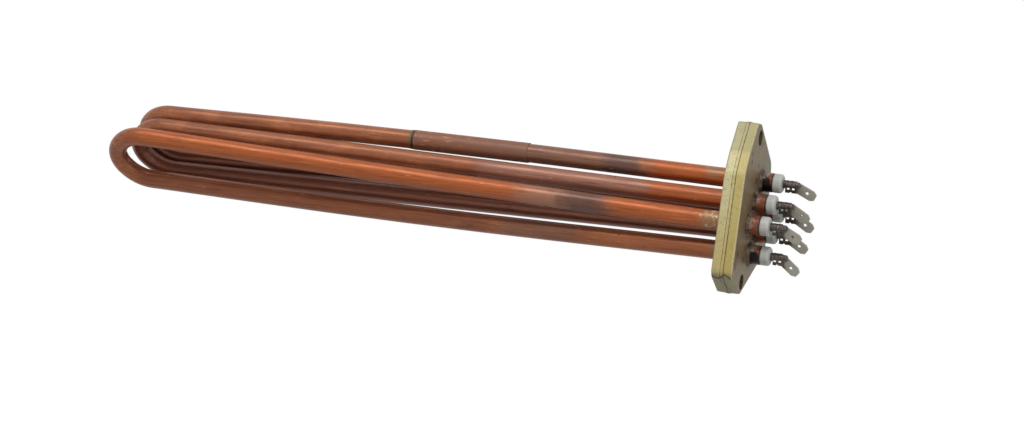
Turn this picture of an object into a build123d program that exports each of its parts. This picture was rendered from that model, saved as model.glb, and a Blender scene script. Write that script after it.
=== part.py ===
from build123d import *
from math import atan2, cos, radians, sin
import os

os.makedirs("parts", exist_ok=True)

# Immersion heating element for a water boiler, in millimetres.
# Three copper-sheathed hairpins are brazed through one forged brass flange.
# The origin is on the sealing face of the flange, midway between its bolt holes.
# The loops reach toward -X and the terminals stand on the +X side.
# +Z is the long way of the flange, and -Y is its near side.

# Flange forging
flange_thickness = 9.5
flange_draft = 1.2
flange_edge_radius = 0.8
parting_band_width = 1.3
parting_band_height = 0.2
bolt_spacing = 62.8
bolt_hole_diameter = 6.6
top_tip_margin = 6.2
bottom_tip_margin = 5.35
near_side_y = -17.6
far_corner_y = 36.0
braze_recess_depth = 0.5

# Tube lattice where it passes the flange
lattice_y = 9.57
lattice_z = -2.51
row_pitch = 11.86
pair_pitch = 14.6
row_lean = 33.0
pair_lean = 32.1

# Sheath tube
sheath_diameter = 8.5
sheath_wall = 0.8
stub_length = 5.1
near_knee_distance = 10.0
near_knee_run = 7.0
middle_knee_distance = 153.0
middle_knee_run = 75.0
far_knee_run = 5.0

# Each hairpin: place in the row, middle of its bend, how far that bend leads the bundle's reach,
# and Y and Z where its legs bow
bundle_reach = 292.7
hairpins = {
    "back": {"row": 1, "bend": (15.9, 3.5), "lead": 0.0, "bow": {1: (9.0, 14.7), -1: (22.7, -1.9)}},
    "middle": {"row": 0, "bend": (10.3, -3.3), "lead": 0.4, "bow": {1: (3.2, 4.8), -1: (16.8, -11.0)}},
    "front": {"row": -1, "bend": (0.7, -9.4), "lead": 6.2, "bow": {1: (-5.0, -3.8), -1: (8.7, -20.4)}},
}

# The bend of a hairpin: a tight crown between two wider shoulders
bend_half_width = 13.1
bend_length = 15.4
bend_crown_radius = 10.5
bend_lean = 45.5

# Heating wire, cold pins and their seals
pin_diameter = 2.9
pin_reach = 7.5
pin_end_chamfer = 0.6
pin_collar_diameter = 3.6
pin_collar_width = 0.7
cold_length = 25.0
coil_wire_diameter = 0.65
coil_grip_length = 8.0
seal_thickness = 0.5
seal_diameter = 8.2
bush_diameter = 8.4
bush_length = 4.2
bush_outer_radius = 1.3
bush_inner_chamfer = 0.3
bush_spigot_length = 3.5

# Push-on tabs, resistance welded to the pins
tab_thickness = 0.8
tab_width = 4.8
tab_base_width = 5.5
tab_base_gap = 0.4
tab_blade_length = 9.1
tab_hole_diameter = 1.4
tab_hole_from_tip = 4.1
tab_corner_length = 1.8
tab_corner_depth = 1.1
tab_lean = 25.0
tab_weld_depth = 0.15
tab_window_length = 1.2
tab_window_height = 1.3
tab_window_pitch = 2.25
tab_window_drop = 2.45
tab_notch_radius = 0.45

# Each tab: turn of the blade, place of the turn along the pin and below its axis
tab_turns = {
    1: (26.0, 5.75, 1.6),
    2: (32.0, 6.0, 1.6),
    3: (33.5, 5.2, 2.1),
    4: (28.0, 4.9, 1.6),
    5: (33.5, 5.3, 1.9),
    6: (41.0, 4.8, 1.6),
}

# Braze at the flange, and the repair joint on the uppermost leg
braze_land = 0.12
braze_waist = 0.36
terminal_braze_width = 1.3
terminal_braze_height = 1.3
loop_braze_width = 0.8
loop_braze_height = 3.0
joint_start = 98.0
joint_length = 55.5
joint_diameter = 9.1
joint_edge_chamfer = 0.2
joint_braze_length = 1.4

# Places worked out from the sizes above
sheath_radius = sheath_diameter / 2
sheath_bore_radius = sheath_radius - sheath_wall
pin_radius = pin_diameter / 2
coil_radius = pin_radius + coil_wire_diameter
stub_end = flange_thickness + stub_length
bush_start = stub_end + seal_thickness
bush_end = bush_start + bush_length
spigot_end = bush_start - bush_spigot_length
pin_end = bush_end + pin_reach
coil_start = coil_grip_length - cold_length
loopward = Vector(-1, 0, 0)


def leg_at_flange(name, side):
    """Place in Y and Z of a leg at the flange: side is 1 for the upper leg and -1 for the lower."""
    row_step = hairpins[name]["row"] * row_pitch
    half_spread = side * pair_pitch / 2
    leg_y = lattice_y + row_step * sin(radians(row_lean)) - half_spread * sin(radians(pair_lean))
    leg_z = lattice_z + row_step * cos(radians(row_lean)) + half_spread * cos(radians(pair_lean))
    return leg_y, leg_z


def bend_place(name, along, aside):
    """Point of a bend: along is its distance from where the bend starts, aside from its middle line."""
    hairpin = hairpins[name]
    middle_y, middle_z = hairpin["bend"]
    lean = radians(bend_lean)
    start_x = -(bundle_reach + hairpin["lead"] - bend_length)
    return Vector(start_x - along, middle_y - aside * sin(lean), middle_z + aside * cos(lean))


def leg_edges(name, side, start_x):
    """Runs and tangent arcs of one leg, from start_x to the start of its bend."""
    near = leg_at_flange(name, side)
    near_knee = Vector(-near_knee_distance, *near)
    bow = Vector(-middle_knee_distance, *hairpins[name]["bow"][side])
    bend_start = bend_place(name, 0, side * bend_half_width)
    far_knee = bend_start - loopward * far_knee_run
    slope = (bow - near_knee).normalized()
    far_slope = (far_knee - bow).normalized()
    near_in = near_knee - loopward * near_knee_run
    near_out = near_knee + slope * near_knee_run
    bow_in = bow - slope * middle_knee_run
    bow_out = bow + far_slope * middle_knee_run
    far_in = far_knee - far_slope * far_knee_run
    edges = []
    run_start = near_knee + slope * (-near_knee_distance - start_x)
    if start_x > near_in.X:
        edges.append(Line(Vector(start_x, *near), near_in))
        edges.append(TangentArc(near_in, near_out, tangent=loopward))
        run_start = near_out
    edges.append(Line(run_start, bow_in))
    edges.append(TangentArc(bow_in, bow_out, tangent=slope))
    edges.append(Line(bow_out, far_in))
    edges.append(TangentArc(far_in, bend_start, tangent=far_slope))
    return edges


def bend_edges(name):
    """Shoulder, crown and shoulder arcs of a bend, from the upper leg to the lower."""
    crown_along = bend_length - bend_crown_radius
    reach_squared = crown_along ** 2 + bend_half_width ** 2 - bend_crown_radius ** 2
    shoulder_radius = reach_squared / (2 * (bend_half_width - bend_crown_radius))
    turn = atan2(crown_along, shoulder_radius - bend_half_width)
    shoulder_drop = bend_half_width - shoulder_radius

    def shoulder_point(angle, side):
        aside = shoulder_drop + shoulder_radius * cos(angle)
        return bend_place(name, shoulder_radius * sin(angle), side * aside)

    crown = bend_place(name, bend_length, 0)
    return [
        ThreePointArc(shoulder_point(0, 1), shoulder_point(turn / 2, 1), shoulder_point(turn, 1)),
        ThreePointArc(shoulder_point(turn, 1), crown, shoulder_point(turn, -1)),
        ThreePointArc(shoulder_point(turn, -1), shoulder_point(turn / 2, -1), shoulder_point(0, -1)),
    ]


def hairpin_sweep(name, radius, start_x):
    """Solid rod along a whole hairpin, with both ends at start_x."""
    upper = leg_edges(name, 1, start_x)
    lower = leg_edges(name, -1, start_x)
    path = Wire(upper + bend_edges(name) + lower)
    section = Plane(upper[0] @ 0, z_dir=upper[0] % 0) * Circle(radius)
    return sweep(section, path=path)


def leg_sweep(name, side, radius):
    """Solid rod along one leg, from its stub end to its bend."""
    edges = leg_edges(name, side, stub_end)
    section = Plane(edges[0] @ 0, z_dir=loopward) * Circle(radius)
    return sweep(section, path=Wire(edges))


def turned(profile, place):
    """Solid of revolution about X: the profile holds X and radius as its two coordinates."""
    return Pos(0, *place) * revolve(profile, Axis.X)


def rod(start_x, end_x, radius, place):
    """Plain cylinder along X."""
    return Plane(Vector(start_x, *place), z_dir=(1, 0, 0)) * extrude(Circle(radius), end_x - start_x)


def flange_outline():
    """Irregular forged hexagon with blunt tips, drawn in Y and Z."""
    top_z = bolt_spacing / 2 + top_tip_margin
    bottom_z = -bolt_spacing / 2 - bottom_tip_margin
    corners = [
        (-5.8, top_z - 0.3, 1.2),
        (0.0, top_z, 1.2),
        (26.2, 23.4, 7.0),
        (far_corner_y, -15.5, 4.0),
        (0.8, bottom_z, 1.2),
        (-3.5, bottom_z, 1.2),
        (near_side_y - 0.2, -30.6, 5.0),
        (near_side_y, 14.1, 10.0),
        (near_side_y + 3.9, 23.7, 5.0),
    ]
    outline = make_face(Polyline(*[(y, z) for y, z, _ in corners], close=True))
    for y, z, radius in corners:
        corner = outline.vertices().sort_by_distance((y, z, 0))[0]
        outline = fillet(corner, radius)
    return outline


def make_flange():
    """Forging in two drafted halves, with its parting band, tube bores and bolt holes."""
    outline = flange_outline()
    half = flange_thickness / 2
    middle = Plane.YZ.offset(half)
    sealing_half = extrude(middle * outline, -half, taper=flange_draft)
    terminal_half = extrude(middle * outline, half, taper=flange_draft)
    body = sealing_half + terminal_half
    faces = body.faces().sort_by(Axis.X)
    rims = faces[0].outer_wire().edges() + faces[-1].outer_wire().edges()
    body = fillet(rims, flange_edge_radius)
    band = middle.offset(-parting_band_width / 2) * offset(outline, parting_band_height)
    body = body + extrude(band, parting_band_width)
    for name in hairpins:
        for side in (1, -1):
            place = leg_at_flange(name, side)
            body = body - rod(-1, flange_thickness + 1, sheath_radius, place)
            body = body - rod(-1, braze_recess_depth, sheath_radius + loop_braze_width, place)
    for end in (1, -1):
        hole = (0, end * bolt_spacing / 2)
        body = body - rod(-1, flange_thickness + 1, bolt_hole_diameter / 2, hole)
    return body


def make_sheath(name):
    """Copper tube of one hairpin."""
    outer = hairpin_sweep(name, sheath_radius, stub_end)
    return outer - hairpin_sweep(name, sheath_bore_radius, stub_end)


def make_pin(place):
    """Cold pin with a rounded end and a collar that stops it at the bush."""
    pin = rod(-cold_length, pin_end, pin_radius, place)
    tip = pin.edges().sort_by(Axis.X)[-1]
    pin = chamfer(tip, pin_end_chamfer)
    return pin + rod(bush_end, bush_end + pin_collar_width, pin_collar_diameter / 2, place)


def make_bush(place):
    """Ceramic bush: a round-edged head and a spigot inside the sheath."""
    head = rod(bush_start, bush_end, bush_diameter / 2, place)
    rims = head.edges().sort_by(Axis.X)
    head = fillet(rims[-1], bush_outer_radius)
    head = chamfer(head.edges().sort_by(Axis.X)[0], bush_inner_chamfer)
    spigot = rod(spigot_end, bush_start, sheath_bore_radius, place)
    return head + spigot - rod(spigot_end - 1, bush_end + 1, pin_radius, place)


def make_seal(place):
    """Thin ring between the end of the sheath and the bush."""
    ring = rod(stub_end, bush_start, seal_diameter / 2, place)
    return ring - rod(stub_end - 1, bush_start + 1, sheath_bore_radius, place)


def make_tab(place, pin, turn, turn_along, turn_drop):
    """Punched tab: a base plate behind the pin and a blade that turns down past its end."""
    lean = radians(tab_lean)
    facing = (0, -cos(lean), -sin(lean))
    face = Plane(Vector(bush_end, *place), x_dir=(1, 0, 0), z_dir=facing)
    face = face.offset(tab_weld_depth - pin_radius)
    base_length = turn_along - tab_base_gap
    base = Pos(tab_base_gap + base_length / 2, -turn_drop) * Rectangle(base_length, tab_base_width)
    half_width = tab_width / 2
    blade_points = [
        (0, half_width),
        (tab_blade_length - tab_corner_length, half_width),
        (tab_blade_length, half_width - tab_corner_depth),
        (tab_blade_length, tab_corner_depth - half_width),
        (tab_blade_length - tab_corner_length, -half_width),
        (0, -half_width),
    ]
    blade = make_face(Polyline(*blade_points, close=True))
    tips = blade.vertices().group_by(Axis.X)[-1] + blade.vertices().group_by(Axis.X)[-2]
    blade = fillet(tips, tab_corner_depth / 2)
    hole = Pos(tab_blade_length - tab_hole_from_tip, 0) * Circle(tab_hole_diameter / 2)
    turn_point = Pos(turn_along, -turn_drop) * Rot(0, 0, -turn)
    elbow = Pos(turn_along, -turn_drop) * Circle(half_width)
    outline = base + elbow + turn_point * blade - turn_point * hole
    windows_centre = turn_along / 2
    for step in (-0.5, 0.5):
        window_along = windows_centre + step * tab_window_pitch
        window = Pos(window_along, -tab_window_drop) * Rectangle(tab_window_length, tab_window_height)
        outline = outline - window
    notch = Pos(windows_centre, -turn_drop - tab_base_width / 2) * Circle(tab_notch_radius)
    return extrude(face * (outline - notch), -tab_thickness) - pin


def make_braze(place, start_x, width, height, away, root, rim):
    """Fillet of braze metal round a leg: away is 1 on the terminal side and -1 on the loop side."""
    outline = [
        (-root, sheath_radius),
        (-root, sheath_radius + width),
        (rim, sheath_radius + width),
        (height * braze_waist, sheath_radius + width * braze_waist),
        (height, sheath_radius + braze_land),
        (height, sheath_radius),
    ]
    points = [(start_x + away * along, radius) for along, radius in outline]
    profile = make_face(Polyline(*points, close=True))
    return turned(profile, place)


def point_on_leg(name, side, distance):
    """Point on the axis of a leg, at a distance from the sealing face toward the loop."""
    leg = Wire(leg_edges(name, side, stub_end))
    leg_span = stub_end - (leg @ 1).X
    return leg @ ((stub_end + distance) / leg_span)


def make_joint(name, side):
    """Sleeve over a join in the tube, and the ring of braze at its loop end."""
    core = leg_sweep(name, side, sheath_radius)
    loop_end = point_on_leg(name, side, joint_start + joint_length)
    flange_end = point_on_leg(name, side, joint_start)
    along = flange_end - loop_end
    sleeve = Plane(loop_end, z_dir=along) * extrude(Circle(joint_diameter / 2), along.length)
    rims = sleeve.edges().filter_by(GeomType.CIRCLE)
    sleeve = chamfer(rims, joint_edge_chamfer) - core
    ring_radius = (joint_diameter + sheath_diameter) / 4
    ring = Plane(loop_end, z_dir=along) * extrude(Circle(ring_radius), -joint_braze_length)
    return sleeve, ring - core


parts = {"flange": make_flange()}
legs = [("back", 1), ("middle", 1), ("back", -1), ("front", 1), ("middle", -1), ("front", -1)]
pins = {}

for number, (name, side) in enumerate(legs, start=1):
    place = leg_at_flange(name, side)
    pin = make_pin(place)
    pins.setdefault(name, []).append(pin)
    parts[f"terminal_pin_{number}"] = pin
    parts[f"ceramic_bush_{number}"] = make_bush(place)
    parts[f"seal_ring_{number}"] = make_seal(place)
    parts[f"push_on_tab_{number}"] = make_tab(place, pin, *tab_turns[number])
    parts[f"terminal_braze_{number}"] = make_braze(
        place, flange_thickness, terminal_braze_width, terminal_braze_height, 1, 0, braze_land)
    parts[f"loop_braze_{number}"] = make_braze(
        place, 0, loop_braze_width, loop_braze_height, -1, braze_recess_depth, 0)

for name in hairpins:
    coil = hairpin_sweep(name, coil_radius, coil_start)
    filling = hairpin_sweep(name, sheath_bore_radius, spigot_end) - coil
    for pin in pins[name]:
        coil = coil - pin
        filling = filling - pin
    parts[f"sheath_{name}"] = make_sheath(name)
    parts[f"heating_coil_{name}"] = coil
    parts[f"oxide_filling_{name}"] = filling

parts["joint_sleeve"], parts["joint_braze"] = make_joint("back", 1)

for node, shape in parts.items():
    export_step(shape, f"parts/{node}.step")
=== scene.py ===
from math import cos, radians, sin

import bmesh
import bpy
from mathutils import Matrix, Vector, noise


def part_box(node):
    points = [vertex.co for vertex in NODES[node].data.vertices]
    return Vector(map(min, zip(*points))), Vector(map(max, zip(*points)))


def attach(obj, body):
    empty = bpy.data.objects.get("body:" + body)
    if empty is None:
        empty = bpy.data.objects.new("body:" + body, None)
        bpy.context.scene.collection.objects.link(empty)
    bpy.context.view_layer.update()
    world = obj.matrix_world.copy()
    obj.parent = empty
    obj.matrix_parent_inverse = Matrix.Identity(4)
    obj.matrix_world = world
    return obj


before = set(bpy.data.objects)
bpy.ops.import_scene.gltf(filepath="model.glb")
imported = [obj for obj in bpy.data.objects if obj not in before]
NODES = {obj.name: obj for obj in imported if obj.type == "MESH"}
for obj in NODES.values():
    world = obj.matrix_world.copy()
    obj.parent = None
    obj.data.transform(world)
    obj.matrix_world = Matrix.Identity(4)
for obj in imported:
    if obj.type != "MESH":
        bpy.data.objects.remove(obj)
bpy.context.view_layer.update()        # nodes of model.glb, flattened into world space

MM = 0.001

# Sizes that follow the construction, in millimetres
PIN_RADIUS = 1.45
FLANGE_THICKNESS = 9.5
STUB_MIDDLE = 11.7
BUSH_START = 15.1
BUSH_END = 19.3
BOLT_SPACING = 62.8
TAB_LEAN = radians(25)

LEGS = range(1, 7)
HAIRPIN_OF_LEG = {1: "back", 2: "middle", 3: "back", 4: "front", 5: "middle", 6: "front"}


def leg_centre(leg):
    """Y and Z of a leg where it passes the flange, in millimetres."""
    low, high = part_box(f"seal_ring_{leg}")
    middle = (low + high) / 2 / MM
    return middle.y, middle.z


def srgb(red, green, blue):
    """Linear colour from the eight-bit values that a picture shows."""
    def linear(value):
        share = value / 255
        return share / 12.92 if share <= 0.04045 else ((share + 0.055) / 1.055) ** 2.4
    return (linear(red), linear(green), linear(blue), 1)


class Signal:
    """A socket of a node tree whose arithmetic adds Math nodes."""

    def __init__(self, finish, socket):
        self.finish = finish
        self.socket = socket

    def math(self, operation, *values, clamp=False):
        return self.finish.node("ShaderNodeMath", {"operation": operation, "use_clamp": clamp},
                                dict(enumerate((self, *values))))

    def __add__(self, other):
        return self.math("ADD", other)

    def __radd__(self, other):
        return self.math("ADD", other)

    def __sub__(self, other):
        return self.math("SUBTRACT", other)

    def __rsub__(self, other):
        return self.finish.node("ShaderNodeMath", {"operation": "SUBTRACT"}, {0: other, 1: self})

    def __mul__(self, other):
        return self.math("MULTIPLY", other)

    def __rmul__(self, other):
        return self.math("MULTIPLY", other)

    def __truediv__(self, other):
        return self.math("DIVIDE", other)

    def __abs__(self):
        return self.math("ABSOLUTE")

    def capped(self):
        return self.math("ADD", 0, clamp=True)

    def rise(self, low, high):
        """0 below low and 1 above high, with a smooth step between them."""
        return self.finish.node(
            "ShaderNodeMapRange", {"interpolation_type": "SMOOTHSTEP", "clamp": True},
            {"Value": self, "From Min": low, "From Max": high})

    def fall(self, low, high):
        """1 below low and 0 above high."""
        return 1 - self.rise(low, high)

    def band(self, low, high, soft):
        """1 between low and high, fading over soft outside them."""
        return self.rise(low - soft, low) * self.fall(high, high + soft)


class Finish:
    """A procedural material with a Principled shader."""

    def __init__(self, name):
        self.material = bpy.data.materials.new(name)
        self.material.use_nodes = True
        self.tree = self.material.node_tree
        self.shader = next(n for n in self.tree.nodes if n.type == "BSDF_PRINCIPLED")
        self.place = self.node("ShaderNodeVectorMath", {"operation": "SCALE"},
                               {0: self.node("ShaderNodeTexCoord", {}, {}, "Object"), "Scale": 1 / MM})
        self.x = self.node("ShaderNodeSeparateXYZ", {}, {0: self.place}, "X")
        self.y = self.node("ShaderNodeSeparateXYZ", {}, {0: self.place}, "Y")
        self.z = self.node("ShaderNodeSeparateXYZ", {}, {0: self.place}, "Z")

    def node(self, kind, settings, inputs, output=0):
        """One node: its settings first, then the values or links of its sockets."""
        made = self.tree.nodes.new(kind)
        for key, value in settings.items():
            if key == "stops":
                ramp = made.color_ramp
                while len(ramp.elements) < len(value):
                    ramp.elements.new(0.5)
                for element, (position, colour) in zip(ramp.elements, value):
                    element.position = position
                    element.color = colour
            else:
                setattr(made, key, value)
        for key, value in inputs.items():
            if isinstance(value, Signal):
                self.tree.links.new(value.socket, made.inputs[key])
            else:
                made.inputs[key].default_value = value
        return Signal(self, made.outputs[output])

    def stretched(self, along_x, across):
        """The place with its X and its other axes scaled apart, for drawn or brushed grain."""
        return self.node("ShaderNodeVectorMath", {"operation": "MULTIPLY"},
                         {0: self.place, 1: (along_x, across, across)})

    def grain(self, scale, detail=3.0, roughness=0.55, at=None, offset=0.0):
        """Noise from 0 to 1 whose scale is in cycles for each millimetre."""
        vector = self.node("ShaderNodeVectorMath", {"operation": "ADD"},
                           {0: at or self.place, 1: (offset, offset * 0.7, offset * 1.3)})
        return self.node("ShaderNodeTexNoise", {"noise_dimensions": "3D"},
                         {"Vector": vector, "Scale": scale, "Detail": detail, "Roughness": roughness})

    def near(self, point, radius, soft, ragged=0.0, scale=1.0):
        """1 within radius of a point in millimetres, with a ragged edge."""
        distance = self.node("ShaderNodeVectorMath", {"operation": "DISTANCE"},
                             {0: self.place, 1: point}, "Value")
        if ragged:
            distance = distance + (self.grain(scale, 4.0, 0.65) - 0.5) * ragged
        return distance.fall(radius, radius + soft)

    def mixed(self, factor, first, second):
        """Colour between first and second."""
        return self.node("ShaderNodeMix", {"data_type": "RGBA", "blend_type": "MIX"},
                         {0: factor, 6: first, 7: second}, 2)

    def stained(self, colour, *stains):
        """A colour with (mask, colour) stains laid over it in turn."""
        for mask, stain in stains:
            colour = self.mixed(mask, colour, stain)
        return colour

    def ramp(self, factor, *stops):
        return self.node("ShaderNodeValToRGB", {"stops": stops}, {0: factor})

    def bump(self, height, distance_mm, strength=1.0):
        """A bumped normal whose full height is given in millimetres."""
        return self.node("ShaderNodeBump", {}, {"Height": height, "Distance": distance_mm * MM,
                                                "Strength": strength})

    def normal_part(self, axis):
        """X, Y or Z of the surface's own direction."""
        geometry = self.node("ShaderNodeNewGeometry", {}, {}, "Normal")
        return self.node("ShaderNodeSeparateXYZ", {}, {0: geometry}, axis)

    def set(self, **sockets):
        for name, value in sockets.items():
            socket = self.shader.inputs[name.replace("_", " ")]
            if isinstance(value, Signal):
                self.tree.links.new(value.socket, socket)
            else:
                socket.default_value = value
        return self.material


# Copper sheaths

COPPER = srgb(160, 96, 62)
COPPER_BRIGHT = srgb(194, 124, 82)
COPPER_DARK = srgb(84, 44, 28)
ORANGE = srgb(184, 94, 40)
GREY_PINK = srgb(160, 114, 98)
GREY_BROWN = srgb(134, 96, 78)
GREY_PURPLE = srgb(98, 72, 64)
SOOT = srgb(20, 15, 13)

# Furnace tints of each leg, with painted shade on the hidden legs 3 and 5: from X to X in millimetres,
# softness, strength and colour
LEG_TINTS_AND_SHADE = {
    1: [(-145, -60, 14, 0.85, GREY_BROWN), (-58, -51, 9, 0.9, GREY_PURPLE), (-36, 2, 8, 0.85, ORANGE)],
    2: [(-112, -46, 12, 0.75, GREY_PINK), (-34, 2, 8, 0.7, ORANGE)],
    # Leg 3 lies behind and under the others: its whole length is darkened, partly its own darker brown,
    # partly painted shade
    3: [(-292, 2, 9, 0.8, srgb(122, 74, 58))],
    4: [(-275, -104, 24, 0.85, ORANGE), (-90, -76, 9, 0.7, srgb(170, 122, 98)),
        (-70, -61, 9, 0.8, GREY_PURPLE), (-48, 2, 9, 0.85, ORANGE)],
    # Leg 5 likewise: darkened along its whole length, partly its own darker brown, partly painted shade
    5: [(-292, 2, 9, 0.8, srgb(126, 78, 62))],
    6: [(-275, -160, 24, 0.7, srgb(146, 82, 48)), (-100, -76, 10, 0.6, GREY_BROWN),
        (-58, 2, 10, 0.75, srgb(170, 100, 58))],
}
# Scaly or greenish marks near the flange: centre, radius, softness, colour
MARKS = {
    "back": [((-11, 9.0, 17.6), 2.2, 4.5, srgb(150, 126, 94))],
    "middle": [((-87, -0.4, 9.2), 0.55, 0.4, COPPER_DARK), ((-54, 2.0, 7.9), 0.6, 0.4, COPPER_DARK)],
    "front": [((-3.5, 5.0, -15.0), 2.4, 4.0, srgb(146, 122, 94)),
              ((-2.0, 3.0, -20.5), 2.2, 4.0, srgb(136, 114, 80)),
              ((-49, 3.8, -17.5), 0.35, 0.5, COPPER_DARK)],
}


def leg_middle_line(finish, hairpin):
    """Signed distance across a hairpin: above 0 on its upper leg, below 0 on its lower."""
    upper, lower = (Vector(leg_centre(leg)) for leg in LEGS if HAIRPIN_OF_LEG[leg] == hairpin)
    middle = (upper + lower) / 2
    return finish.z - middle.y + finish.x * 0.004


def copper_colour(finish, seed):
    """Drawn copper: long streaks, blotches of oxide and small scuffs."""
    streaks = finish.grain(1.3, 4.0, 0.62, finish.stretched(0.035, 1.0), seed)
    fine = finish.grain(4.0, 3.0, 0.6, finish.stretched(0.10, 1.0), seed + 3)
    blotches = finish.grain(0.075, 6.0, 0.62, finish.stretched(0.8, 1.6), seed + 9)
    patches = finish.grain(0.028, 4.0, 0.55, finish.stretched(0.8, 2.2), seed + 17)
    scuffs = finish.grain(0.9, 2.0, 0.5, finish.stretched(0.22, 1.4), seed + 29)
    colour = finish.stained(
        COPPER,
        (patches.rise(0.40, 0.66) * 0.55, srgb(134, 78, 54)),
        (blotches.rise(0.50, 0.66) * 0.45, COPPER_BRIGHT),
        (blotches.fall(0.32, 0.46) * 0.50, srgb(120, 70, 50)),
    )
    return colour, streaks, fine, blotches, scuffs


def copper_finish(hairpin, seed):
    """Copper of one hairpin with its furnace tints (on legs 3 and 5 partly painted shade), marks and soot at
    the stubs.
    """
    finish = Finish(f"copper_{hairpin}")
    legs = [leg for leg in LEGS if HAIRPIN_OF_LEG[leg] == hairpin]
    colour, streaks, fine, blotches, scuffs = copper_colour(finish, seed)
    upper_side = leg_middle_line(finish, hairpin).rise(-1.5, 1.5)
    wander = (finish.grain(0.11, 4.0, 0.6, offset=seed + 41.0) - 0.5) * 16
    on_bundle = finish.x.fall(-0.5, 0.5)
    # Tints laid along each leg; on legs 3 and 5 they are partly painted shade
    for leg, side in zip(legs, (upper_side, 1 - upper_side)):
        for low, high, soft, strength, tint in LEG_TINTS_AND_SHADE[leg]:
            mask = (finish.x + wander).band(low, high, soft) * side * on_bundle
            colour = finish.mixed(mask * strength, colour, tint)
    colour = finish.stained(
        colour,
        (streaks.rise(0.50, 0.70) * 0.50, COPPER_DARK),
        (streaks.fall(0.28, 0.44) * 0.35, srgb(208, 142, 104)),
        (fine.rise(0.56, 0.74) * 0.35, srgb(78, 42, 30)),
        (blotches.fall(0.28, 0.40) * 0.45, srgb(96, 58, 44)),
        (scuffs.rise(0.71, 0.76) * 0.45, srgb(226, 180, 148)),
    )
    for centre, radius, soft, tone in MARKS[hairpin]:
        mark = finish.near(centre, radius, soft, 3.0 if radius > 1 else 0.3, 0.6)
        colour = finish.mixed(mark * 0.65, colour, tone)
    scale = finish.grain(0.75, 5.0, 0.75, offset=seed + 5.0)
    if hairpin == "front":
        patch = finish.near((-6.0, -4.2, -5.9), 2.2, 5.0, 4.0, 0.35)
        crust = finish.grain(0.55, 5.0, 0.7, offset=seed + 13.0)
        colour = finish.stained(
            colour,
            (patch * 0.50, srgb(166, 126, 92)),
            (patch * crust.rise(0.38, 0.56) * 0.80, srgb(158, 136, 100)),
            (patch * crust.rise(0.54, 0.62), srgb(224, 206, 172)),
        )
        specks = finish.near((-57, -3.9, -4.8), 1.4, 1.2, 1.5, 1.5)
        specks = specks * finish.grain(2.5, 3.0, 0.7).rise(0.52, 0.6)
        colour = finish.mixed(specks, colour, srgb(206, 190, 172))
    edge_line = (finish.x + (blotches - 0.5) * 3).band(-1.6, 0.5, 0.6) * finish.x.fall(0.3, 0.8)
    stub = finish.x.rise(9.0, 9.6)
    colour = finish.mixed(edge_line * 0.7, colour, srgb(74, 52, 36))
    colour = finish.mixed(stub * 0.8, colour, srgb(150, 84, 60))
    for leg in legs:
        y, z = leg_centre(leg)
        for across, height, reach, strength in STUB_SOOT[leg]:
            spot = finish.near((STUB_MIDDLE, y + across, z + height), reach, 1.2, 2.2, 0.9)
            colour = finish.mixed(spot * stub * strength, colour, SOOT)
        for across, height, reach, strength in STUB_FLUX[leg]:
            spot = finish.near((STUB_MIDDLE - 1, y + across, z + height), reach, 1.2, 2.4, 1.1)
            crusted = spot * stub * scale.rise(0.40, 0.52) * strength
            colour = finish.mixed(crusted, colour, srgb(186, 174, 154))
    roughness = 0.36 + (streaks - 0.5) * 0.22 + (blotches - 0.5) * 0.2
    height = streaks * 0.45 + finish.grain(0.30, 3.0) * 0.4 + scuffs.rise(0.7, 0.76) * 0.15
    return finish.set(
        Base_Color=colour, Roughness=roughness.capped(), Metallic=0.22, Specular_IOR_Level=0.32,
        Normal=finish.bump(height, 0.05))


# Soot and flux on the terminal stubs: across in Y, height in Z, reach, strength
STUB_SOOT = {
    1: [(-3.2, -3.2, 3.2, 1.0), (-4.0, 0.2, 1.8, 0.9)],
    2: [(2.6, -4.0, 1.2, 0.5)],
    3: [(0.0, -4.0, 2.0, 0.6)],
    4: [(3.6, -2.0, 1.8, 0.9)],
    5: [(0.0, -4.0, 1.6, 0.5)],
    6: [(-3.6, -2.6, 3.4, 1.0), (1.0, -4.2, 3.0, 1.0), (3.0, 2.8, 2.2, 0.9)],
}
STUB_FLUX = {
    1: [(-2.6, 3.4, 2.0, 0.9)],
    2: [(-4.0, 1.6, 1.6, 0.8)],
    3: [(-3.0, 3.0, 1.2, 0.4)],
    4: [(-4.2, 0.6, 2.0, 0.7)],
    5: [(-3.0, 3.0, 1.2, 0.4)],
    6: [(-2.8, 3.6, 2.4, 0.8)],
}


def sleeve_finish():
    """Sleeve at the joint: dull grey-brown, with rubbed bright flecks near its loop end."""
    finish = Finish("copper_joint_sleeve")
    colour, streaks, _, blotches, _ = copper_colour(finish, 63.0)
    rubbed = finish.grain(0.8, 3.0, 0.6, finish.stretched(0.2, 1.3)).rise(0.60, 0.68)
    flecks = finish.x.band(-150, -128, 5) * rubbed
    colour = finish.stained(
        colour,
        (finish.x.rise(-160, -90) * 0.35 + 0.50, GREY_BROWN),
        (blotches.rise(0.5, 0.64) * 0.4, srgb(106, 76, 64)),
        (streaks.rise(0.55, 0.75) * 0.4, srgb(88, 58, 48)),
        (flecks * 0.8, srgb(214, 160, 128)),
        (finish.x.band(-155, -152.9, 0.3) * 0.85, srgb(44, 26, 20)),
    )
    return finish.set(
        Base_Color=colour, Roughness=0.48, Metallic=0.10, Specular_IOR_Level=0.35,
        Normal=finish.bump(streaks * 0.5 + blotches * 0.5, 0.05))


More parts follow.
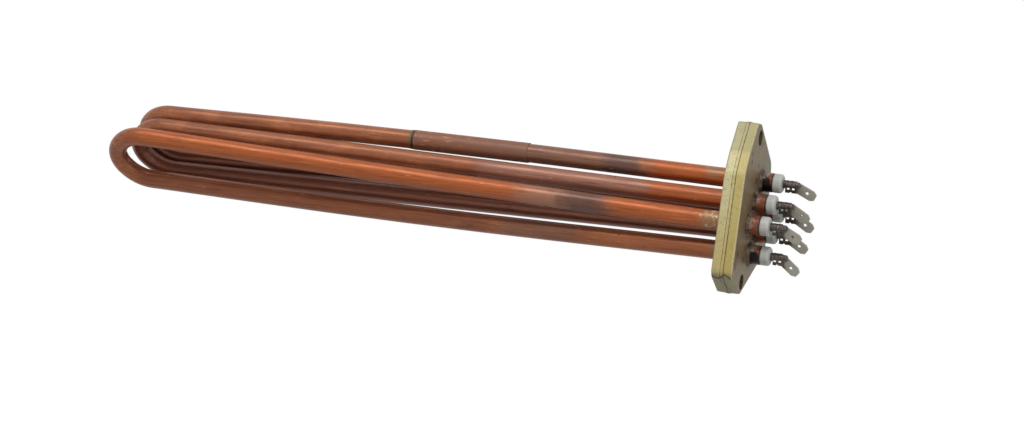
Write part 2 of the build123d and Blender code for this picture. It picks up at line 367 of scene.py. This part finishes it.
def joint_braze_finish():
    """Greenish ring of braze between two dark grooves."""
    finish = Finish("braze_at_joint")
    mottle = finish.grain(1.6, 4.0, 0.6)
    colour = finish.stained(
        srgb(116, 104, 72),
        (mottle.rise(0.5, 0.7) * 0.6, srgb(84, 70, 46)),
        (finish.x.fall(-155.1, -154.5) * 0.85, srgb(62, 38, 26)),
        (finish.x.rise(-154.2, -153.7) * 0.85, srgb(62, 38, 26)),
    )
    return finish.set(Base_Color=colour, Roughness=0.55, Metallic=0.3, Specular_IOR_Level=0.3,
                      Normal=finish.bump(mottle, 0.1))


# Brass flange

# Ragged lower end of the bright flank: share of the thickness and Z in millimetres
RAGGED_LINE = ((0.0, -30.5), (0.27, -31.5), (0.5, -30.8), (0.65, -29.5), (0.79, -30.4), (1.0, -31.9))
RAGGED_LOW, RAGGED_HIGH = -34.0, -28.0


def brass_finish():
    """Forged brass: speckled flank painted brighter as painted light, dull tips, stained terminal face, dirt
    at the parting band and painted shade in the bolt holes.
    """
    finish = Finish("forged_brass")
    facing_x = finish.normal_part("X")
    facing_y = finish.normal_part("Y")
    facing_z = finish.normal_part("Z")
    speckle = finish.grain(2.2, 5.0, 0.75)
    coarse = finish.grain(0.55, 4.0, 0.65, offset=4.0)
    patches = finish.grain(0.09, 4.0, 0.6, offset=11.0)
    # Sides turned towards the lamps; their brighter colour below is painted light
    flank = facing_y.fall(-0.97, -0.80)

    # flanks: the side facing the lamps is painted brighter than the other sides, painted light over its real
    # speckle and grain, and darker and warmer towards the bottom
    colour = finish.stained(
        srgb(166, 160, 120),
        (patches.rise(0.42, 0.62) * 0.6, srgb(142, 138, 104)),
        (coarse.rise(0.56, 0.70) * 0.35, srgb(188, 178, 132)),
    )
    # Painted light: the brighter brass that goes only on the side facing the lamps
    bright = finish.mixed(finish.x.rise(4.0, 5.6), srgb(222, 212, 162), srgb(206, 190, 120))
    bright = finish.stained(
        bright,
        (finish.z.fall(-22, 6) * 0.60, srgb(190, 166, 92)),
        (coarse.rise(0.50, 0.66) * 0.50, srgb(180, 158, 94)),
        (speckle.rise(0.60, 0.70) * 0.55, srgb(236, 230, 190)),
        (speckle.fall(0.36, 0.44) * 0.70, srgb(146, 122, 66)),
    )
    colour = finish.mixed(flank, colour, bright)
    ochre = finish.grain(0.8, 4.0, 0.7, offset=20.0).rise(0.60, 0.68) * finish.z.fall(-24, -4)
    colour = finish.mixed(ochre * 0.75 * flank, colour, srgb(138, 96, 44))
    span = RAGGED_HIGH - RAGGED_LOW
    stops = [(at, ((z - RAGGED_LOW) / span,) * 3 + (1,)) for at, z in RAGGED_LINE]
    height = finish.ramp(finish.x / FLANGE_THICKNESS, *stops) * span + RAGGED_LOW
    below_line = finish.z - height
    tip = below_line.fall(-0.15, 0.15) * facing_x.fall(0.5, 0.8)
    colour = finish.mixed(tip, colour, finish.mixed(coarse, srgb(142, 134, 98), srgb(184, 176, 134)))
    near_side = facing_y.fall(-0.6, -0.3)
    torn = finish.grain(0.6, 4.0, 0.65, offset=71.0) * 0.5
    tear = abs(below_line).fall(torn, torn + 0.22) * near_side * facing_x.fall(0.4, 0.7)
    colour = finish.mixed(tear * 0.85, colour, srgb(66, 50, 32))
    scratch = abs(finish.x - 5.0 - (finish.z + 33.5) * -0.85).fall(0.10, 0.28)
    scratch = scratch * tip * finish.z.band(-36.2, -32.0, 0.3)
    colour = finish.mixed(scratch * 0.8, colour, srgb(84, 78, 56))

    # parting band with dirt on both sides
    from_band = abs(finish.x - FLANGE_THICKNESS / 2)
    groove = from_band.band(0.60, 0.78, 0.10) * abs(facing_x).fall(0.75, 0.95)
    broken = finish.grain(0.7, 3.0, 0.6, offset=31.0).rise(0.34, 0.50)
    colour = finish.mixed(groove * (broken * 0.55 + 0.35), colour, srgb(62, 46, 26))

    # terminal face
    streak = finish.grain(0.5, 5.0, 0.65, finish.stretched(1.0, 0.35), 7.0)
    far = (finish.y + (patches - 0.5) * 14).rise(8, 24) * finish.z.rise(-8, 8)
    face_colour = finish.stained(
        srgb(136, 114, 80),
        (streak.rise(0.45, 0.68) * 0.55, srgb(102, 84, 62)),
        (far * 0.75, srgb(122, 126, 108)),
        (finish.z.fall(-32, -20) * 0.6, srgb(140, 124, 92)),
        (coarse.rise(0.58, 0.70) * 0.40, srgb(158, 144, 112)),
        (speckle.rise(0.64, 0.72) * 0.45, srgb(178, 168, 140)),
    )
    around = None
    for leg in LEGS:
        y, z = leg_centre(leg)
        ring = finish.near((FLANGE_THICKNESS, y, z), 6.0, 2.2, 3.0, 0.5)
        around = ring if around is None else around.math("MAXIMUM", ring)
    face_colour = finish.stained(
        face_colour,
        (around * coarse.rise(0.35, 0.55) * 0.6, srgb(70, 54, 44)),
        (around * speckle.rise(0.55, 0.66) * 0.7, srgb(186, 182, 170)),
    )
    for y, z, reach, tone in FACE_MARKS:
        mark = finish.near((FLANGE_THICKNESS, y, z), reach, 0.7, 1.6, 1.2)
        face_colour = finish.mixed(mark * 0.85, face_colour, tone)
    on_face = facing_x.rise(0.86, 0.97)
    colour = finish.mixed(on_face, colour, face_colour)

    # rubbed and chipped near rim of the terminal face
    rim = facing_x.band(0.28, 0.80, 0.12) * near_side
    colour = finish.mixed(rim * speckle.rise(0.35, 0.55) * 0.85, colour, srgb(228, 214, 164))
    chips = finish.grain(0.6, 3.0, 0.7, offset=51.0).rise(0.60, 0.66)
    colour = finish.mixed(rim * chips * 0.9, colour, srgb(120, 84, 40))

    # sealing face, machined flat
    back = facing_x.fall(-0.97, -0.90)
    colour = finish.mixed(back, colour, finish.mixed(streak, srgb(176, 164, 118), srgb(144, 130, 92)))

    # bolt holes: their walls painted dark, painted shade inside the holes
    for end in (1, -1):
        from_hole = finish.node("ShaderNodeCombineXYZ", {},
                                {"Y": finish.y, "Z": finish.z - end * BOLT_SPACING / 2})
        wall = finish.node("ShaderNodeVectorMath", {"operation": "LENGTH"}, {0: from_hole}, "Value")
        colour = finish.mixed(wall.fall(3.5, 3.9) * 0.75, colour, srgb(70, 52, 32))
    roughness = 0.50 + (speckle - 0.5) * 0.25 - rim * 0.08
    pits = speckle * 0.5 + coarse * 0.5
    return finish.set(Base_Color=colour, Roughness=roughness.capped(), Metallic=0.12, Specular_IOR_Level=0.4,
                      Normal=finish.bump(pits, 0.12))


DARK_MARK = srgb(46, 38, 32)
FACE_MARKS = [
    (-9.5, 23.5, 0.9, DARK_MARK), (-9.0, 20.0, 0.8, DARK_MARK), (24.5, 17.5, 1.2, srgb(66, 62, 52)),
    (3.5, 19.5, 0.7, DARK_MARK), (5.0, 29.0, 1.0, srgb(88, 76, 54)), (-13.0, -20.5, 1.6, srgb(86, 66, 46)),
    (-14.5, -25.0, 1.8, srgb(82, 62, 44)), (2.5, 13.0, 1.1, DARK_MARK), (-2.5, -22.0, 1.2, srgb(92, 74, 56)),
]


# Small pieces

def terminal_braze_finish():
    """Braze under flux: white and grey crust, black char and a little brass colour."""
    finish = Finish("braze_and_flux")
    crust = finish.grain(0.55, 5.0, 0.62)
    fine = finish.grain(1.8, 3.0, 0.6, offset=8.0)
    char = finish.grain(0.28, 3.0, 0.6, offset=15.0)
    colour = finish.stained(
        srgb(118, 98, 78),
        (crust.rise(0.46, 0.62) * 0.75, srgb(150, 140, 124)),
        (fine.rise(0.60, 0.70) * 0.55, srgb(206, 200, 186)),
        (char.rise(0.50, 0.60) * 0.85, srgb(38, 29, 25)),
        (fine.fall(0.32, 0.42) * 0.5, srgb(92, 58, 42)),
    )
    return finish.set(Base_Color=colour, Roughness=0.72, Metallic=0.1, Specular_IOR_Level=0.25,
                      Normal=finish.bump(crust * 0.6 + fine * 0.4, 0.35))


def ceramic_finish():
    """White ceramic with a faint grey bloom, a few specks and a grey inner end."""
    finish = Finish("bush_ceramic")
    bloom = finish.grain(0.30, 4.0, 0.6)
    specks = finish.grain(1.8, 3.0, 0.6, offset=3.0)
    colour = finish.stained(
        srgb(222, 224, 219),
        (bloom.rise(0.45, 0.7) * 0.4, srgb(196, 198, 192)),
        (specks.rise(0.70, 0.76) * 0.4, srgb(170, 168, 158)),
        (finish.x.fall(BUSH_START, BUSH_START + 0.7) * 0.5, srgb(160, 156, 146)),
    )
    return finish.set(Base_Color=colour, Roughness=0.42, Metallic=0.0, Specular_IOR_Level=0.45,
                      Normal=finish.bump(bloom, 0.05))


def seal_finish():
    """Black sealing compound, slightly glossy and uneven."""
    finish = Finish("black_seal")
    lumps = finish.grain(0.9, 4.0, 0.6)
    colour = finish.mixed(lumps.rise(0.45, 0.7), srgb(24, 21, 19), srgb(52, 44, 38))
    return finish.set(Base_Color=colour, Roughness=0.45, Metallic=0.0, Normal=finish.bump(lumps, 0.2))


def pin_finish():
    """Pin steel, dark from the weld, with scale and rubbed highlights."""
    finish = Finish("pin_steel")
    scale = finish.grain(1.3, 5.0, 0.7)
    rings = finish.grain(1.0, 3.0, 0.6, finish.stretched(1.6, 0.3), 5.0)
    colour = finish.stained(
        srgb(96, 88, 82),
        (scale.rise(0.42, 0.58) * 0.8, srgb(50, 43, 39)),
        (rings.rise(0.55, 0.68) * 0.6, srgb(146, 138, 130)),
        (scale.fall(0.30, 0.38) * 0.6, srgb(126, 96, 66)),
    )
    return finish.set(Base_Color=colour, Roughness=0.45, Metallic=0.55, Specular_IOR_Level=0.35,
                      Normal=finish.bump(scale * 0.5 + rings * 0.5, 0.16))


def tab_finish():
    """Nickel-plated plate, clean at the blade and heat-tinted brown and brassy at the weld."""
    finish = Finish("tab_plate")
    tint_edge = finish.x + (finish.grain(0.5, 4.0, 0.6) - 0.5) * 2.4
    tint = tint_edge.fall(24.2, 26.2)
    brushed = finish.grain(2.4, 3.0, 0.6, finish.stretched(0.5, 1.4))
    spots = finish.grain(0.9, 3.0, 0.6, offset=6.0)
    scorched = finish.mixed(spots.rise(0.50, 0.62), srgb(46, 33, 23), srgb(118, 90, 52))
    colour = finish.stained(
        srgb(190, 186, 172),
        (brushed.rise(0.5, 0.75) * 0.25, srgb(158, 154, 142)),
        (spots.rise(0.66, 0.74) * 0.35, srgb(140, 134, 120)),
        (tint * 0.92, scorched),
    )
    return finish.set(Base_Color=colour, Roughness=0.40, Metallic=0.15, Specular_IOR_Level=0.35,
                      Normal=finish.bump(brushed, 0.012))


def plain(name, colour, roughness, metallic):
    """A mottled finish for what stays hidden."""
    finish = Finish(name)
    mottle = finish.grain(0.8, 4.0, 0.6)
    dark = tuple(c * 0.76 for c in colour[:3]) + (1,)
    tone = finish.mixed(mottle.rise(0.3, 0.7), dark, colour)
    return finish.set(Base_Color=tone, Roughness=roughness, Metallic=metallic, Specular_IOR_Level=0.3,
                      Normal=finish.bump(mottle, 0.02))


FINISHES = {
    "brass": brass_finish(),
    "braze": terminal_braze_finish(),
    "ceramic": ceramic_finish(),
    "seal": seal_finish(),
    "pin": pin_finish(),
    "tab": tab_finish(),
    "oxide": plain("magnesium_oxide", srgb(225, 222, 212), 0.9, 0.0),
    "wire": plain("heating_wire", srgb(120, 115, 110), 0.5, 0.8),
}


def dress(node, material):
    """Gives a construction piece its finish."""
    mesh = NODES[node].data
    mesh.materials.clear()
    mesh.materials.append(material)


dress("flange", FINISHES["brass"])
for seed, hairpin in enumerate(("back", "middle", "front")):
    dress(f"sheath_{hairpin}", copper_finish(hairpin, 10.0 * seed + 2.0))
    dress(f"oxide_filling_{hairpin}", FINISHES["oxide"])
    dress(f"heating_coil_{hairpin}", FINISHES["wire"])
for leg in LEGS:
    dress(f"terminal_pin_{leg}", FINISHES["pin"])
    dress(f"ceramic_bush_{leg}", FINISHES["ceramic"])
    dress(f"seal_ring_{leg}", FINISHES["seal"])
    dress(f"push_on_tab_{leg}", FINISHES["tab"])
    dress(f"terminal_braze_{leg}", FINISHES["braze"])
    dress(f"loop_braze_{leg}", FINISHES["braze"])
dress("joint_sleeve", sleeve_finish())
dress("joint_braze", joint_braze_finish())


# Weld beads where each pin is welded to its tab

BEAD_RADIUS = 0.55
BEAD_PLACES = (1.7, 3.9)


def weld_beads(leg):
    """Two flattened beads of weld on top of a pin."""
    y, z = leg_centre(leg)
    rise = Vector((0, -sin(TAB_LEAN), cos(TAB_LEAN)))
    inward = Vector((0, cos(TAB_LEAN), sin(TAB_LEAN)))
    mesh_work = bmesh.new()
    for along in BEAD_PLACES:
        seat = Vector((BUSH_END + along, y, z)) + rise * (PIN_RADIUS * 0.9) + inward * (PIN_RADIUS * 0.45)
        ball = bmesh.ops.create_icosphere(mesh_work, subdivisions=3, radius=BEAD_RADIUS)
        for vertex in ball["verts"]:
            lump = 1 + 0.22 * noise.noise(vertex.co * 2.4 + Vector((leg, along, 0)) * 3.1)
            vertex.co = Vector((vertex.co.x * 1.25, vertex.co.y, vertex.co.z * 0.85)) * lump
        bmesh.ops.translate(mesh_work, verts=ball["verts"], vec=seat)
    bmesh.ops.scale(mesh_work, verts=mesh_work.verts, vec=(MM, MM, MM))
    mesh = bpy.data.meshes.new(f"weld_beads_{leg}")
    mesh_work.to_mesh(mesh)
    mesh_work.free()
    mesh.shade_smooth()
    beads = bpy.data.objects.new(f"weld_beads_{leg}", mesh)
    bpy.context.scene.collection.objects.link(beads)
    mesh.materials.append(FINISHES["pin"])
    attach(beads, "root")


for leg in LEGS:
    weld_beads(leg)


# Floor, lights and camera

FLOOR_HEIGHT = -0.15


def studio():
    """Pale floor and white surroundings."""
    ground = bmesh.new()
    bmesh.ops.create_grid(ground, x_segments=1, y_segments=1, size=30)
    bmesh.ops.translate(ground, verts=ground.verts, vec=(0, 0, FLOOR_HEIGHT))
    mesh = bpy.data.meshes.new("studio_floor")
    ground.to_mesh(mesh)
    ground.free()
    floor = bpy.data.objects.new("studio_floor", mesh)
    bpy.context.scene.collection.objects.link(floor)
    finish = Finish("pale_floor")
    seen = finish.node("ShaderNodeLightPath", {}, {}, "Is Camera Ray")
    for ray in ("Is Glossy Ray", "Is Transmission Ray"):
        seen = seen.math("MAXIMUM", finish.node("ShaderNodeLightPath", {}, {}, ray))
    glow = finish.mixed(seen, (0, 0, 0, 1), (1, 1, 1, 1))
    mesh.materials.append(finish.set(
        Base_Color=srgb(148, 148, 148), Roughness=0.8, Emission_Color=glow, Emission_Strength=0.83))

    world = bpy.data.worlds.new("white_surroundings")
    bpy.context.scene.world = world
    world.use_nodes = True
    tree = world.node_tree
    rays = tree.nodes.new("ShaderNodeLightPath")
    shown = tree.nodes.new("ShaderNodeMath")
    shown.operation = "MAXIMUM"
    tree.links.new(rays.outputs["Is Camera Ray"], shown.inputs[0])
    tree.links.new(rays.outputs["Is Glossy Ray"], shown.inputs[1])
    clear = tree.nodes.new("ShaderNodeMath")
    clear.operation = "MAXIMUM"
    tree.links.new(shown.outputs[0], clear.inputs[0])
    tree.links.new(rays.outputs["Is Transmission Ray"], clear.inputs[1])
    strength = tree.nodes.new("ShaderNodeMapRange")
    strength.inputs["To Min"].default_value = 0.28
    strength.inputs["To Max"].default_value = 1.0
    tree.links.new(clear.outputs[0], strength.inputs["Value"])
    back = next(n for n in tree.nodes if n.type == "BACKGROUND")
    back.inputs["Color"].default_value = (1, 1, 1, 1)
    tree.links.new(strength.outputs[0], back.inputs["Strength"])


def lamp(name, place, target, size, power):
    """Soft area lamp aimed at a point, in metres and watts."""
    data = bpy.data.lights.new(name, "AREA")
    data.shape = "RECTANGLE"
    data.size, data.size_y = size
    data.energy = power
    made = bpy.data.objects.new(name, data)
    made.location = place
    made.rotation_mode = "QUATERNION"
    made.rotation_quaternion = (Vector(target) - Vector(place)).to_track_quat("-Z", "Y")
    bpy.context.scene.collection.objects.link(made)


studio()
lamp("key", (-0.35, -0.85, 1.05), (-0.12, 0, 0), (1.1, 0.5), 10)
lamp("fill", (0.9, -0.9, 0.25), (-0.05, 0, 0), (0.8, 0.8), 2.5)

CAMERA_PLACE = Vector((0.2693, -1.0350, -0.0568))
CAMERA_RIGHT = Vector((0.9351, 0.3269, 0.1368))
CAMERA_UP = Vector((-0.1172, -0.0790, 0.9900))
FOCAL_PIXELS = 2464
PHOTO_WIDTH = 1024

lens = bpy.data.cameras.new("camera")
lens.sensor_width = 36
lens.sensor_fit = "HORIZONTAL"
lens.lens = FOCAL_PIXELS / PHOTO_WIDTH * lens.sensor_width
camera = bpy.data.objects.new("camera", lens)
right = CAMERA_RIGHT.normalized()
back = right.cross(CAMERA_UP).normalized()
up = back.cross(right)
turn = Matrix((right, up, back)).transposed()
camera.matrix_world = Matrix.Translation(CAMERA_PLACE) @ turn.to_4x4()
bpy.context.scene.collection.objects.link(camera)
bpy.context.scene.camera = camera
bpy.context.scene.view_settings.view_transform = "Standard"
